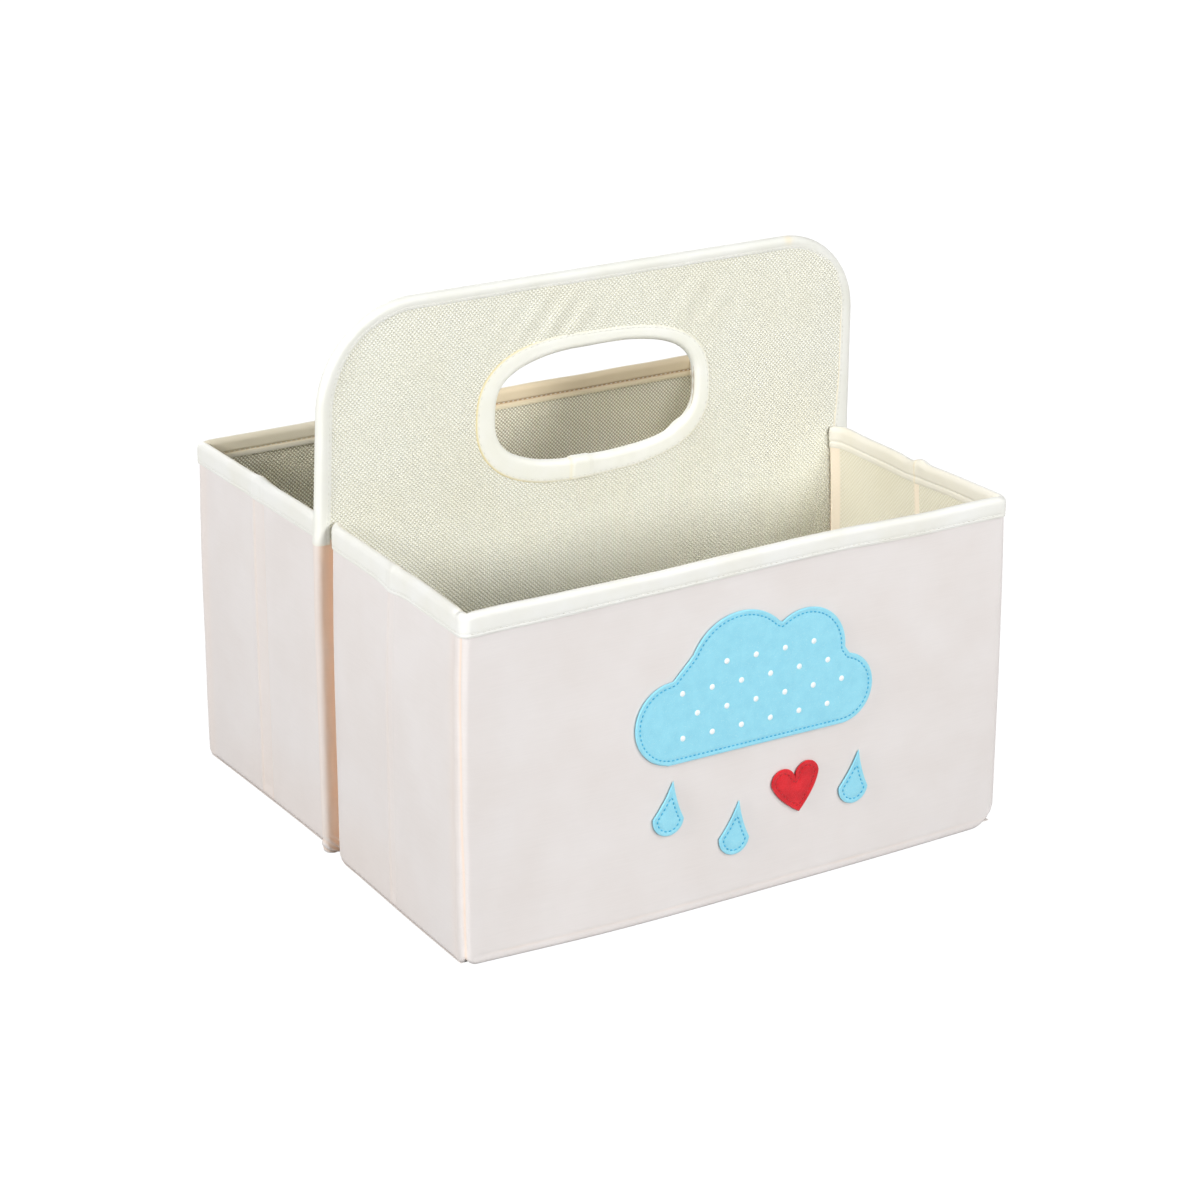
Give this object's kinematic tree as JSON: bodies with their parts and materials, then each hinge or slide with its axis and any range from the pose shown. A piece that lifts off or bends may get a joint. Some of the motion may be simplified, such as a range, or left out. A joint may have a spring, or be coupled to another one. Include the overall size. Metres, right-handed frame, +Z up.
{
  "type": "storage caddy",
  "caption": "Folding fabric storage caddy: open bins either side of a tall divider with rounded upper corners and an oblong hand hole, felt shapes on the front.",
  "frame": {"origin": "on the ground, under the middle of the whole object's box", "axes": "+Z up; X along the divider and the end panels, +X to the right seen from the front; the front bin, with the felt shapes, is towards -Y"},
  "size_m": [0.306, 0.2814, 0.272],
  "materials": {
    "board": "plain grey-brown board, hidden between the cloths",
    "cloth": "fine plain weave, pinkish oatmeal, matte",
    "lining": "ivory non-woven cloth with an embossed cross hatch, matte",
    "binding": "off-white folded tape, stitched, matte",
    "edge": "fine plain weave, peach in the fold, matte",
    "gusset": "soft ivory cloth, matte",
    "blue_felt": "light blue felt, fuzzy",
    "red_felt": "red felt, fuzzy"
  },
  "bodies": {
    "divider": {"divider_board": "board", "divider_lining": "lining", "divider_binding": "binding", "handle_binding": "binding", "divider_edge_cover_left": "edge", "divider_edge_cover_right": "edge", "front_left_gusset": "gusset", "front_right_gusset": "gusset", "rear_left_gusset": "gusset", "rear_right_gusset": "gusset"},
    "front_left_centre": {"front_left_centre_board": "board", "front_left_centre_cloth": "cloth", "front_left_centre_lining": "lining", "front_left_centre_binding": "binding"},
    "front_left_end": {"front_left_end_board": "board", "front_left_end_cloth": "cloth", "front_left_end_lining": "lining", "front_left_end_binding": "binding"},
    "front_right_centre": {"front_right_centre_board": "board", "front_right_centre_cloth": "cloth", "front_right_centre_lining": "lining", "front_right_centre_binding": "binding"},
    "front_right_end": {"front_right_end_board": "board", "front_right_end_cloth": "cloth", "front_right_end_lining": "lining", "front_right_end_binding": "binding"},
    "front_panel": {"front_panel_board": "board", "front_panel_cloth": "cloth", "front_panel_lining": "lining", "front_panel_binding": "binding", "felt_cloud": "blue_felt", "felt_drop_left": "blue_felt", "felt_drop_middle": "blue_felt", "felt_drop_right": "blue_felt", "felt_heart": "red_felt"},
    "front_floor_inner": {"front_floor_inner": "lining"},
    "front_floor_outer": {"front_floor_outer": "lining"},
    "rear_left_centre": {"rear_left_centre_board": "board", "rear_left_centre_cloth": "cloth", "rear_left_centre_lining": "lining", "rear_left_centre_binding": "binding"},
    "rear_left_end": {"rear_left_end_board": "board", "rear_left_end_cloth": "cloth", "rear_left_end_lining": "lining", "rear_left_end_binding": "binding"},
    "rear_right_centre": {"rear_right_centre_board": "board", "rear_right_centre_cloth": "cloth", "rear_right_centre_lining": "lining", "rear_right_centre_binding": "binding"},
    "rear_right_end": {"rear_right_end_board": "board", "rear_right_end_cloth": "cloth", "rear_right_end_lining": "lining", "rear_right_end_binding": "binding"},
    "rear_panel": {"rear_panel_board": "board", "rear_panel_cloth": "cloth", "rear_panel_lining": "lining", "rear_panel_binding": "binding"},
    "rear_floor_inner": {"rear_floor_inner": "lining"},
    "rear_floor_outer": {"rear_floor_outer": "lining"}
  },
  "joints": [
    {"name": "front_fold", "type": "hinge", "parent": "divider", "child": "front_left_centre", "pos_m": [-0.1462, -0.0093, 0.085], "axis": [0, 0, 1], "range_deg": [0, 88], "deforming": ["front_left_gusset", "front_right_gusset"]},
    {"name": "front_left_crease", "type": "hinge", "parent": "front_left_centre", "child": "front_left_end", "pos_m": [-0.1492, -0.06985, 0.085], "axis": [0, 0, 1], "range_deg": [-176, 0]},
    {"name": "front_corner", "type": "hinge", "parent": "front_left_end", "child": "front_panel", "pos_m": [-0.1462, -0.1304, 0.085], "axis": [0, 0, 1], "range_deg": [0, 88]},
    {"name": "front_right_fold", "type": "hinge", "parent": "divider", "child": "front_right_centre", "pos_m": [0.1462, -0.0093, 0.085], "axis": [0, 0, 1], "range_deg": [-88, 0]},
    {"name": "front_right_crease", "type": "hinge", "parent": "front_right_centre", "child": "front_right_end", "pos_m": [0.1492, -0.06985, 0.085], "axis": [0, 0, 1], "range_deg": [0, 176]},
    {"name": "front_floor_lift", "type": "hinge", "parent": "divider", "child": "front_floor_inner", "pos_m": [0, -0.0035, 0.0017], "axis": [-1, 0, 0], "range_deg": [0, 88]},
    {"name": "front_floor_tip", "type": "hinge", "parent": "front_panel", "child": "front_floor_outer", "pos_m": [0, -0.1339, 0.0017], "axis": [1, 0, 0], "range_deg": [0, 88]},
    {"name": "rear_fold", "type": "hinge", "parent": "divider", "child": "rear_left_centre", "pos_m": [-0.1462, 0.0099, 0.085], "axis": [0, 0, -1], "range_deg": [0, 88], "deforming": ["rear_left_gusset", "rear_right_gusset"]},
    {"name": "rear_left_crease", "type": "hinge", "parent": "rear_left_centre", "child": "rear_left_end", "pos_m": [-0.1492, 0.07045, 0.085], "axis": [0, 0, -1], "range_deg": [-176, 0]},
    {"name": "rear_corner", "type": "hinge", "parent": "rear_left_end", "child": "rear_panel", "pos_m": [-0.1462, 0.131, 0.085], "axis": [0, 0, -1], "range_deg": [0, 88]},
    {"name": "rear_right_fold", "type": "hinge", "parent": "divider", "child": "rear_right_centre", "pos_m": [0.1462, 0.0099, 0.085], "axis": [0, 0, -1], "range_deg": [-88, 0]},
    {"name": "rear_right_crease", "type": "hinge", "parent": "rear_right_centre", "child": "rear_right_end", "pos_m": [0.1492, 0.07045, 0.085], "axis": [0, 0, -1], "range_deg": [0, 176]},
    {"name": "rear_floor_lift", "type": "hinge", "parent": "divider", "child": "rear_floor_inner", "pos_m": [0, 0.0041, 0.0017], "axis": [1, 0, 0], "range_deg": [0, 88]},
    {"name": "rear_floor_tip", "type": "hinge", "parent": "rear_panel", "child": "rear_floor_outer", "pos_m": [0, 0.1345, 0.0017], "axis": [-1, 0, 0], "range_deg": [0, 88]}
  ],
  "couplings": [
    {"joint": "front_left_crease", "follows": "front_fold", "ratio": -2},
    {"joint": "front_corner", "follows": "front_fold", "ratio": 1},
    {"joint": "front_right_fold", "follows": "front_fold", "ratio": -1},
    {"joint": "front_right_crease", "follows": "front_fold", "ratio": 2},
    {"joint": "front_floor_lift", "follows": "front_fold", "ratio": 1},
    {"joint": "front_floor_tip", "follows": "front_fold", "ratio": 1},
    {"joint": "rear_left_crease", "follows": "rear_fold", "ratio": -2},
    {"joint": "rear_corner", "follows": "rear_fold", "ratio": 1},
    {"joint": "rear_right_fold", "follows": "rear_fold", "ratio": -1},
    {"joint": "rear_right_crease", "follows": "rear_fold", "ratio": 2},
    {"joint": "rear_floor_lift", "follows": "rear_fold", "ratio": 1},
    {"joint": "rear_floor_tip", "follows": "rear_fold", "ratio": 1}
  ]
}
